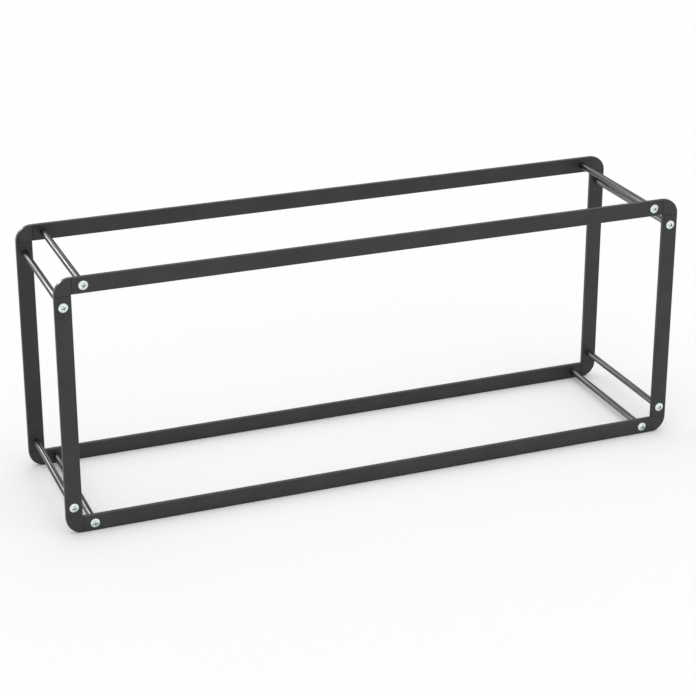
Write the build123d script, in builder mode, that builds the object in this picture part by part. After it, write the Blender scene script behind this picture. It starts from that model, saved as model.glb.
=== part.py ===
from build123d import *
import os

# Firewood log rack: two rounded rectangular rings of flat steel tube, tied by round cross rods.
# Each ring is two rails and two uprights, joined by four corner connectors whose tongues slide
# into the tube ends. A rod stands behind each tube end, so every corner of the rack has two, and
# a machine bolt through tube and tongue draws the ring onto the tapped end of each rod.
#
# X runs along the rack, Y from the front ring to the rear ring, Z up. The origin is on the floor,
# in the middle of the rack. Millimetres.

# Overall sizes
rack_length = 1000.0
rack_height = 400.0
rack_depth = 250.0  # outside face of the front ring to outside face of the rear ring

# Flat steel tube of the rails and uprights
bar_width = 25.0
bar_thickness = 8.0
bar_wall = 1.2
bar_edge_radius = 1.5

# Corner connectors
corner_inner_radius = 0.5
corner_shoulder = 1.2  # how far a connector runs along each tube past the ring's inner corner
seam_bevel = 0.6  # on the connector and on the tube's end, so that their seam is a narrow groove
tongue_fit = 0.15  # gap all round between a tongue and the inside of its tube
tongue_edge_radius = 1.0
tongue_past_bolt = 9.5  # tongue beyond the bolt's axis
tongue_lead = 0.8  # bevel that leads the tongue's end into the tube

# Cross rods
rod_diameter = 10.0
rod_inset = 16.5  # from the end of a tube to the axis of the rod behind it
rod_end_bevel = 0.5

# Machine bolts, M6, with a domed head and a cross recess
bolt_diameter = 6.0
bolt_hole_fit = 0.25  # gap all round between a bolt and its holes in tube and tongue
thread_fit = 0.05  # gap all round between a bolt and the tapped end of a rod
thread_engagement = 12.0
tap_run_out = 2.0  # tapped depth beyond the bolt's tip
bolt_tip_bevel = 0.8
bolt_turn = 137.5  # degrees from the cross of one bolt to the next, as each stops where it is tight
head_diameter = 14.0
head_height = 3.2
head_rim = 0.7  # straight edge under the dome
recess_span = 6.8  # tip to tip of the cross
recess_arm_width = 1.6
recess_core_diameter = 3.0
recess_depth = 2.4
recess_taper = 6.0  # degrees

# Worked out from the sizes above
corner_outer_radius = bar_width
corner_arm = bar_width + corner_shoulder
tongue_width = bar_width - 2 * (bar_wall + tongue_fit)
tongue_thickness = bar_thickness - 2 * (bar_wall + tongue_fit)
tongue_reach = rod_inset + tongue_past_bolt
bolt_hole_radius = bolt_diameter / 2 + bolt_hole_fit
tapped_radius = bolt_diameter / 2 + thread_fit
rod_across = bar_width / 2  # rods stand on the middle line of the bars
rod_along = corner_arm + rod_inset  # from the ring's outer edge, along the bar
rod_length = rack_depth - 2 * bar_thickness
rail_length = rack_length - 2 * corner_arm
upright_length = rack_height - 2 * corner_arm
head_radius = head_diameter / 2
bolt_length = bar_thickness + thread_engagement

# Which way each ring lies along Y, each side along X and each level along Z
rings = {"front": -1, "rear": 1}
sides = {"left": -1, "right": 1}
levels = {"bottom": -1, "top": 1}

ring_middle = (rack_depth - bar_thickness) / 2  # from the rack's middle to a ring's own middle
bar_line_x = rack_length / 2 - rod_across  # middle line of an upright
bar_line_z = rack_height / 2 - rod_across  # middle line of a rail, from half height
rod_line_x = rack_length / 2 - rod_along  # a rod behind a rail
rod_line_z = rack_height / 2 - rod_along  # a rod behind an upright, from half height

# Axes of the rods, which are the axes of the bolts too, as (x, z) seen from the front
rail_rods = {
    (level, side): (side_sign * rod_line_x, rack_height / 2 + level_sign * bar_line_z)
    for level, level_sign in levels.items()
    for side, side_sign in sides.items()
}
upright_rods = {
    (level, side): (side_sign * bar_line_x, rack_height / 2 + level_sign * rod_line_z)
    for level, level_sign in levels.items()
    for side, side_sign in sides.items()
}

os.makedirs("parts", exist_ok=True)

# Rails: a length of tube along X, drilled through both flats near each end
for ring, ring_sign in rings.items():
    for level in levels:
        rail_z = rail_rods[level, "left"][1]
        with BuildPart() as rail:
            with BuildSketch(Plane.YZ) as rail_section:
                with Locations((ring_sign * ring_middle, rail_z)):
                    RectangleRounded(bar_thickness, bar_width, bar_edge_radius)
                offset(amount=-bar_wall, mode=Mode.SUBTRACT)
            extrude(amount=rail_length / 2, both=True)
            drill_places = [rail_rods[level, side] for side in sides]
            with BuildSketch(Plane.XZ.offset(-ring_sign * ring_middle)) as rail_holes:
                with Locations(*drill_places):
                    Circle(bolt_hole_radius)
            extrude(amount=bar_thickness, both=True, mode=Mode.SUBTRACT)
            for tube_end in rail.faces().filter_by(Axis.X):
                chamfer(tube_end.outer_wire().edges(), seam_bevel)
        rail.part.label = f"{ring}_{level}_rail"
        export_step(rail.part, f"parts/{rail.part.label}.step")

# Uprights: the same tube along Z
for ring, ring_sign in rings.items():
    for side in sides:
        upright_x = upright_rods["top", side][0]
        with BuildPart() as upright:
            with BuildSketch(Plane.XY.offset(rack_height / 2)) as upright_section:
                with Locations((upright_x, ring_sign * ring_middle)):
                    RectangleRounded(bar_width, bar_thickness, bar_edge_radius)
                offset(amount=-bar_wall, mode=Mode.SUBTRACT)
            extrude(amount=upright_length / 2, both=True)
            drill_places = [upright_rods[level, side] for level in levels]
            with BuildSketch(Plane.XZ.offset(-ring_sign * ring_middle)) as upright_holes:
                with Locations(*drill_places):
                    Circle(bolt_hole_radius)
            extrude(amount=bar_thickness, both=True, mode=Mode.SUBTRACT)
            for tube_end in upright.faces().filter_by(Axis.Z):
                chamfer(tube_end.outer_wire().edges(), seam_bevel)
        upright.part.label = f"{ring}_{side}_upright"
        export_step(upright.part, f"parts/{upright.part.label}.step")

# Corner connector, drawn once from the ring's outer corner: x inwards along the rail, y inwards
# along the upright, z through the ring. It is a block with a quarter-round outside, and a tongue
# into each tube.
with BuildPart() as connector:
    with BuildSketch() as block_outline:
        Rectangle(corner_arm, corner_arm, align=Align.MIN)
        with Locations((bar_width, bar_width)):
            Rectangle(corner_arm, corner_arm, align=Align.MIN, mode=Mode.SUBTRACT)
        fillet(block_outline.vertices().sort_by_distance((0, 0))[0], corner_outer_radius)
        inner_corner = block_outline.vertices().sort_by_distance((bar_width, bar_width))[0]
        fillet(inner_corner, corner_inner_radius)
    extrude(amount=bar_thickness / 2, both=True)
    rail_shoulder = connector.faces().filter_by(Axis.X).sort_by(SortBy.AREA)[-1]
    upright_shoulder = connector.faces().filter_by(Axis.Y).sort_by(SortBy.AREA)[-1]
    rims = connector.faces().filter_by(Axis.Z).edges() - rail_shoulder.edges()
    fillet(rims - upright_shoulder.edges(), bar_edge_radius)
    for across in (Axis.X, Axis.Y):
        shoulder = connector.faces().filter_by(across).sort_by(SortBy.AREA)[-1]
        chamfer(shoulder.edges(), seam_bevel)

    with BuildSketch(Plane.YZ.offset(corner_arm)) as rail_tongue:
        with Locations((rod_across, 0)):
            RectangleRounded(tongue_width, tongue_thickness, tongue_edge_radius)
    extrude(amount=tongue_reach)
    with BuildSketch(Plane.XZ.offset(-corner_arm)) as upright_tongue:
        with Locations((rod_across, 0)):
            RectangleRounded(tongue_width, tongue_thickness, tongue_edge_radius)
    extrude(amount=-tongue_reach)
    chamfer(connector.faces().sort_by(Axis.X)[-1].edges(), tongue_lead)
    chamfer(connector.faces().sort_by(Axis.Y)[-1].edges(), tongue_lead)
    with Locations((rod_along, rod_across), (rod_across, rod_along)):
        Hole(bolt_hole_radius)

for ring, ring_sign in rings.items():
    for level, level_sign in levels.items():
        for side, side_sign in sides.items():
            corner_plane = Plane(
                origin=(
                    side_sign * rack_length / 2,
                    ring_sign * ring_middle,
                    rack_height / 2 * (1 + level_sign),
                ),
                x_dir=(-side_sign, 0, 0),
                z_dir=(0, -side_sign * level_sign, 0),
            )
            with BuildPart() as corner:
                with Locations(corner_plane):
                    add(connector.part)
            corner.part.label = f"{ring}_{level}_{side}_corner"
            export_step(corner.part, f"parts/{corner.part.label}.step")

# Cross rods: round bar from ring to ring, with a tapped hole in each end
for rods, place in ((rail_rods, "rail"), (upright_rods, "upright")):
    for (level, side), centre in rods.items():
        with BuildPart() as rod:
            with BuildSketch(Plane.XZ) as rod_section:
                with Locations(centre):
                    Circle(rod_diameter / 2)
            extrude(amount=rod_length / 2, both=True)
            chamfer(rod.faces().filter_by(Axis.Y).edges(), rod_end_bevel)
            with Locations(*rod.faces().filter_by(Axis.Y)):
                Hole(tapped_radius, depth=thread_engagement + tap_run_out)
        rod.part.label = f"{level}_{side}_{place}_rod"
        export_step(rod.part, f"parts/{rod.part.label}.step")

# Machine bolt, drawn once with its axis on Z and the underside of its head at the origin
with BuildPart() as bolt:
    with BuildSketch(Plane.XZ) as bolt_half:
        with BuildLine() as bolt_outline:
            Polyline(
                (0, head_height),
                (0, -bolt_length),
                (bolt_diameter / 2 - bolt_tip_bevel, -bolt_length),
                (bolt_diameter / 2, bolt_tip_bevel - bolt_length),
                (bolt_diameter / 2, 0),
                (head_radius, 0),
                (head_radius, head_rim),
            )
            TangentArc((0, head_height), (head_radius, head_rim), tangent=(1, 0))
        make_face()
    revolve(axis=Axis.Z)
    with BuildSketch(Plane.XY.offset(head_height)) as recess_mouth:
        Rectangle(recess_span, recess_arm_width)
        Rectangle(recess_arm_width, recess_span)
        Circle(recess_core_diameter / 2)
    extrude(amount=-recess_depth, taper=recess_taper, mode=Mode.SUBTRACT)

# Each ring is held by one bolt on every rod, its head on the outside face of the ring
rod_axes = (*rail_rods.values(), *upright_rods.values())
for ring, ring_sign in rings.items():
    with BuildPart() as bolts:
        for number, (x, z) in enumerate(rod_axes):
            head_seat = Plane(origin=(x, ring_sign * rack_depth / 2, z), z_dir=(0, ring_sign, 0))
            with Locations(head_seat):
                add(bolt.part, rotation=(0, 0, bolt_turn * number))
    bolts.part.label = f"{ring}_bolts"
    export_step(bolts.part, f"parts/{bolts.part.label}.step")
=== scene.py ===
import math

import bpy
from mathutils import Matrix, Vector

# The finish of a firewood log rack, and the studio it stands in. The rack is two rings of flat
# steel tube, front and rear, tied by round cross rods at the corners. X runs along the rack, Y
# from the front ring to the rear ring, Z up, in metres, and the floor is at 0.

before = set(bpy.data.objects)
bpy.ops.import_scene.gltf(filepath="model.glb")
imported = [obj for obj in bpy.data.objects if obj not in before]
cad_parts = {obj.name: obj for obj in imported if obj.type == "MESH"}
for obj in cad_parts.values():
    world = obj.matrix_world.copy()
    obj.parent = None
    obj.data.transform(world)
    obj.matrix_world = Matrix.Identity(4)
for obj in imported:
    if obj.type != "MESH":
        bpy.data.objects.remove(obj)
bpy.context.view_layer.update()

MM = 0.001
NOISE_LOW, NOISE_HIGH = 0.35, 0.65  # nearly all of a noise texture lies between these


def linear(colour):
    """An sRGB hex colour as the linear red, green, blue and alpha that a shader takes."""
    shares = [int(colour[at:at + 2], 16) / 255 for at in (1, 3, 5)]
    return [s / 12.92 if s <= 0.04045 else ((s + 0.055) / 1.055) ** 2.4 for s in shares] + [1.0]


def add_node(tree, kind, output, inputs, **settings):
    """Adds a node and gives back its output of that name. An input that is given an output of
    another node is linked to it, and any other is set."""
    made = tree.nodes.new(kind)
    for name, value in settings.items():
        setattr(made, name, value)
    for name, value in inputs.items():
        socket = next(s for s in made.inputs if s.name == name and s.enabled)
        if isinstance(value, bpy.types.NodeSocket):
            tree.links.new(value, socket)
        else:
            socket.default_value = value
    return next((s for s in made.outputs if s.name == output and s.enabled), None)


def new_material(name):
    """A material with an empty tree, and the place on the rack that its patterns are drawn by."""
    material = bpy.data.materials.new(name)
    material.use_nodes = True
    tree = material.node_tree
    tree.nodes.clear()
    place = add_node(tree, "ShaderNodeTexCoord", "Object", {})
    return material, tree, place


# Materials

def powder_coat(name, deep, thin, speck, roughness):
    """Black polyester powder, sprayed on metal and baked. It melts into one thick satin skin, so
    the eye sees a deep neutral grey with soft wide highlights, a slow orange peel, and a fine
    grain where the powder didn't flow out."""
    film_patch = 45 * MM  # between thick and thin film, as the spray gun passes
    handled_patch = 14 * MM
    handled_swing = 0.05  # in roughness, either way
    peel_width, peel_height = 2.4 * MM, 0.05 * MM
    # The grain of baked powder is about 0.3 mm. It is drawn three times as coarse, to show.
    grain_width, grain_height = 0.9 * MM, 0.02 * MM
    speck_from, speck_full = 0.55, 0.75  # of the grain's noise, which runs from 0 to 1
    speck_strength = 0.35

    material, tree, place = new_material(name)
    film = add_node(tree, "ShaderNodeTexNoise", "Fac", {
        "Vector": place, "Scale": 1 / film_patch, "Detail": 3.0,
    })
    handling = add_node(tree, "ShaderNodeTexNoise", "Fac", {
        "Vector": place, "Scale": 1 / handled_patch,
    })
    peel = add_node(tree, "ShaderNodeTexNoise", "Fac", {
        "Vector": place, "Scale": 1 / peel_width,
    })
    grain = add_node(tree, "ShaderNodeTexNoise", "Fac", {
        "Vector": place, "Scale": 1 / grain_width, "Detail": 3.0, "Roughness": 0.65,
    })

    film_share = add_node(tree, "ShaderNodeMapRange", "Result", {
        "Value": film, "From Min": NOISE_LOW, "From Max": NOISE_HIGH,
    })
    film_tone = add_node(tree, "ShaderNodeMix", "Result", {
        "Factor": film_share, "A": linear(deep), "B": linear(thin),
    }, data_type="RGBA")
    speck_share = add_node(tree, "ShaderNodeMapRange", "Result", {
        "Value": grain, "From Min": speck_from, "From Max": speck_full,
        "To Max": speck_strength,
    })
    tone = add_node(tree, "ShaderNodeMix", "Result", {
        "Factor": speck_share, "A": film_tone, "B": linear(speck),
    }, data_type="RGBA")
    sheen = add_node(tree, "ShaderNodeMapRange", "Result", {
        "Value": handling, "From Min": NOISE_LOW, "From Max": NOISE_HIGH,
        "To Min": roughness - handled_swing, "To Max": roughness + handled_swing,
    })
    peel_bump = add_node(tree, "ShaderNodeBump", "Normal", {
        "Height": peel, "Distance": peel_height,
    })
    surface = add_node(tree, "ShaderNodeBump", "Normal", {
        "Height": grain, "Distance": grain_height, "Normal": peel_bump,
    })
    shader = add_node(tree, "ShaderNodeBsdfPrincipled", "BSDF", {
        "Base Color": tone, "Roughness": sheen, "Normal": surface,
        "IOR": 1.5, "Specular IOR Level": 0.45,
    })
    add_node(tree, "ShaderNodeOutputMaterial", None, {"Surface": shader})
    return material


def smoked_rod():
    """Round steel bar, drawn through a die, under a thin smoked lacquer. The die leaves long
    bright streaks. The lacquer takes the steel down to gunmetal, and takes most where the eye
    looks through it aslant, so that a rod has dark edges."""
    # Die lines are a few tenths of a millimetre apart. They are drawn at 2.2 mm, to show.
    die_line_width, die_line_height = 2.2 * MM, 0.006 * MM
    die_line_slimness = 0.012  # a line's width as a share of its length, which runs along Y
    flow_patch = 22 * MM  # of the lacquer, before it set
    glossiest, dullest = 0.31, 0.39

    material, tree, place = new_material("drawn_steel_bar_smoked_lacquer")
    along_rod = add_node(tree, "ShaderNodeMapping", "Vector", {
        "Vector": place, "Scale": (1, die_line_slimness, 1),
    })
    die_lines = add_node(tree, "ShaderNodeTexNoise", "Fac", {
        "Vector": along_rod, "Scale": 1 / die_line_width, "Detail": 1.0,
    })
    flow = add_node(tree, "ShaderNodeTexNoise", "Fac", {
        "Vector": place, "Scale": 1 / flow_patch, "Detail": 2.0,
    })

    line_share = add_node(tree, "ShaderNodeMapRange", "Result", {
        "Value": die_lines, "From Min": NOISE_LOW, "From Max": NOISE_HIGH,
    })
    tone = add_node(tree, "ShaderNodeMix", "Result", {
        "Factor": line_share, "A": linear("#595a5a"), "B": linear("#929393"),
    }, data_type="RGBA")
    sheen = add_node(tree, "ShaderNodeMapRange", "Result", {
        "Value": flow, "From Min": NOISE_LOW, "From Max": NOISE_HIGH,
        "To Min": glossiest, "To Max": dullest,
    })
    surface = add_node(tree, "ShaderNodeBump", "Normal", {
        "Height": die_lines, "Distance": die_line_height,
    })
    shader = add_node(tree, "ShaderNodeBsdfPrincipled", "BSDF", {
        "Base Color": tone, "Metallic": 1.0, "Roughness": sheen, "Normal": surface,
        "Specular Tint": linear("#969696"),
    })
    add_node(tree, "ShaderNodeOutputMaterial", None, {"Surface": shader})
    return material


def zinc_plate():
    """Steel bolts, cold headed and plated with bright zinc. White with a touch of blue, the
    cloudy bloom of the passivation, driver marks, and painted shade: the plate is darkened in
    the recess and round the rim of the head, where shade falls."""
    # The clouds of the bloom are finer on a real bolt. They are drawn at 2 mm, to show.
    bloom_width = 2 * MM
    mark_width, mark_depth = 0.8 * MM, 0.03 * MM
    recess_reach = 1.8 * MM  # how far the painted shade feels for the walls of the recess
    painted_shade_full, painted_shade_none = 0.35, 0.8  # how open a place is where the painted shade is full, and where it ends
    glossiest, dullest = 0.2, 0.32

    material, tree, place = new_material("cold_headed_steel_bright_zinc_plate")
    bloom = add_node(tree, "ShaderNodeTexNoise", "Fac", {
        "Vector": place, "Scale": 1 / bloom_width, "Detail": 1.0,
    })
    marks = add_node(tree, "ShaderNodeTexNoise", "Fac", {
        "Vector": place, "Scale": 1 / mark_width, "Detail": 3.0, "Roughness": 0.7,
    })
    openness = add_node(tree, "ShaderNodeAmbientOcclusion", "AO", {"Distance": recess_reach})

    bloom_share = add_node(tree, "ShaderNodeMapRange", "Result", {
        "Value": bloom, "From Min": NOISE_LOW, "From Max": NOISE_HIGH,
    })
    plate = add_node(tree, "ShaderNodeMix", "Result", {
        "Factor": bloom_share, "A": linear("#c4d4d5"), "B": linear("#f3fbfa"),
    }, data_type="RGBA")
    # Painted shade: the plate is mixed towards a dark slate grey (#3a4244) where the AO finds
    # walls close by, in the recess and round the head's rim.
    painted_shade_share = add_node(tree, "ShaderNodeMapRange", "Result", {
        "Value": openness, "From Min": painted_shade_full, "From Max": painted_shade_none,
        "To Min": 1.0, "To Max": 0.0,
    })
    tone = add_node(tree, "ShaderNodeMix", "Result", {
        "Factor": painted_shade_share, "A": plate, "B": linear("#3a4244"),
    }, data_type="RGBA")
    sheen = add_node(tree, "ShaderNodeMapRange", "Result", {
        "Value": bloom, "From Min": NOISE_LOW, "From Max": NOISE_HIGH,
        "To Min": glossiest, "To Max": dullest,
    })
    surface = add_node(tree, "ShaderNodeBump", "Normal", {
        "Height": marks, "Distance": mark_depth,
    })
    shader = add_node(tree, "ShaderNodeBsdfPrincipled", "BSDF", {
        "Base Color": tone, "Metallic": 1.0, "Roughness": sheen, "Normal": surface,
    })
    add_node(tree, "ShaderNodeOutputMaterial", None, {"Surface": shader})
    return material


def white_paper():
    """Matt white studio paper, with the faint cloudiness of its pulp."""
    pulp_patch = 12 * MM

    material, tree, place = new_material("matt_white_studio_paper")
    pulp = add_node(tree, "ShaderNodeTexNoise", "Fac", {
        "Vector": place, "Scale": 1 / pulp_patch, "Detail": 4.0,
    })
    tone = add_node(tree, "ShaderNodeMix", "Result", {
        "Factor": pulp, "A": linear("#f5f5f4"), "B": linear("#f8f8f7"),
    }, data_type="RGBA")
    shader = add_node(tree, "ShaderNodeBsdfPrincipled", "BSDF", {
        "Base Color": tone, "Roughness": 0.9, "Specular IOR Level": 0.1,
    })
    add_node(tree, "ShaderNodeOutputMaterial", None, {"Surface": shader})
    return material


tube_coat = powder_coat("steel_tube_black_powder_coat", "#202221", "#282a29", "#4a4c4b", 0.46)
# A cast corner is thicker than the tube and stays hot for longer, so its powder flows out
# glossier.
corner_coat = powder_coat("cast_corner_black_powder_coat", "#242322", "#2c2a2a", "#4e4c4b", 0.3)
finishes = {
    "rail": tube_coat,
    "upright": tube_coat,
    "corner": corner_coat,
    "rod": smoked_rod(),
    "bolts": zinc_plate(),
}
for name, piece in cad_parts.items():
    kind = name.split("_")[-1]
    piece.data.materials.clear()
    piece.data.materials.append(finishes[kind])


# Studio: white paper, a pale room all round, soft light from the ceiling, and one softbox
room_brightness = 0.97
ceiling_brightness = 0.35
ceiling_spread = math.radians(60)
floor_side = 80  # far past the rack, so that the floor has no edge in sight

bpy.ops.mesh.primitive_plane_add(size=floor_side)
floor = bpy.context.object
floor.name = "studio_floor"
floor.data.materials.append(white_paper())

room = bpy.data.worlds.new("pale_room")
room.use_nodes = True
room.node_tree.nodes.clear()
glow = add_node(room.node_tree, "ShaderNodeBackground", "Background", {
    "Color": linear("#ffffff"), "Strength": room_brightness,
})
add_node(room.node_tree, "ShaderNodeOutputWorld", None, {"Surface": glow})
bpy.context.scene.world = room

ceiling = bpy.data.lights.new("ceiling", "SUN")
ceiling.energy = ceiling_brightness
ceiling.angle = ceiling_spread
bpy.context.scene.collection.objects.link(bpy.data.objects.new("ceiling", ceiling))

# The softbox stands behind the left end. It is seen only as the bright line along the rods there
# and round the top corner in front of them.
softbox_centre = Vector((-0.97, 1.3, 0.88))
softbox_aim = Vector((-0.45, 0, 0.4))
softbox_width, softbox_height = 0.4, 0.3
softbox_brightness = 14.0  # on the room's scale
softbox_light = bpy.data.lights.new("softbox", "AREA")
softbox_light.shape = "RECTANGLE"
softbox_light.size = softbox_width
softbox_light.size_y = softbox_height
softbox_light.energy = softbox_brightness * math.pi * softbox_width * softbox_height
softbox = bpy.data.objects.new("softbox", softbox_light)
softbox.location = softbox_centre
softbox.rotation_euler = (softbox_aim - softbox_centre).to_track_quat("-Z", "Y").to_euler()
softbox.visible_camera = False
softbox.visible_diffuse = False
bpy.context.scene.collection.objects.link(softbox)

# Camera
view_azimuth = math.radians(-21.41)  # from straight in front, towards the right end
view_elevation = math.radians(20.78)
view_distance = 3.072
view_target = Vector((-0.0082, 0, 0.2913))
sensor_side, lens_length = 36, 102.1  # millimetres
framing_shift = -0.1  # share of the frame, which lifts the rack back to the middle
towards_camera = Vector((
    math.sin(view_azimuth) * math.cos(view_elevation),
    -math.cos(view_azimuth) * math.cos(view_elevation),
    math.sin(view_elevation),
))
camera = bpy.data.objects.new("camera", bpy.data.cameras.new("camera"))
camera.data.sensor_width = sensor_side
camera.data.lens = lens_length
camera.data.shift_y = framing_shift
camera.location = view_target + towards_camera * view_distance
camera.rotation_euler = (-towards_camera).to_track_quat("-Z", "Y").to_euler()
bpy.context.scene.collection.objects.link(camera)
bpy.context.scene.camera = camera
bpy.context.scene.view_settings.view_transform = "Standard"
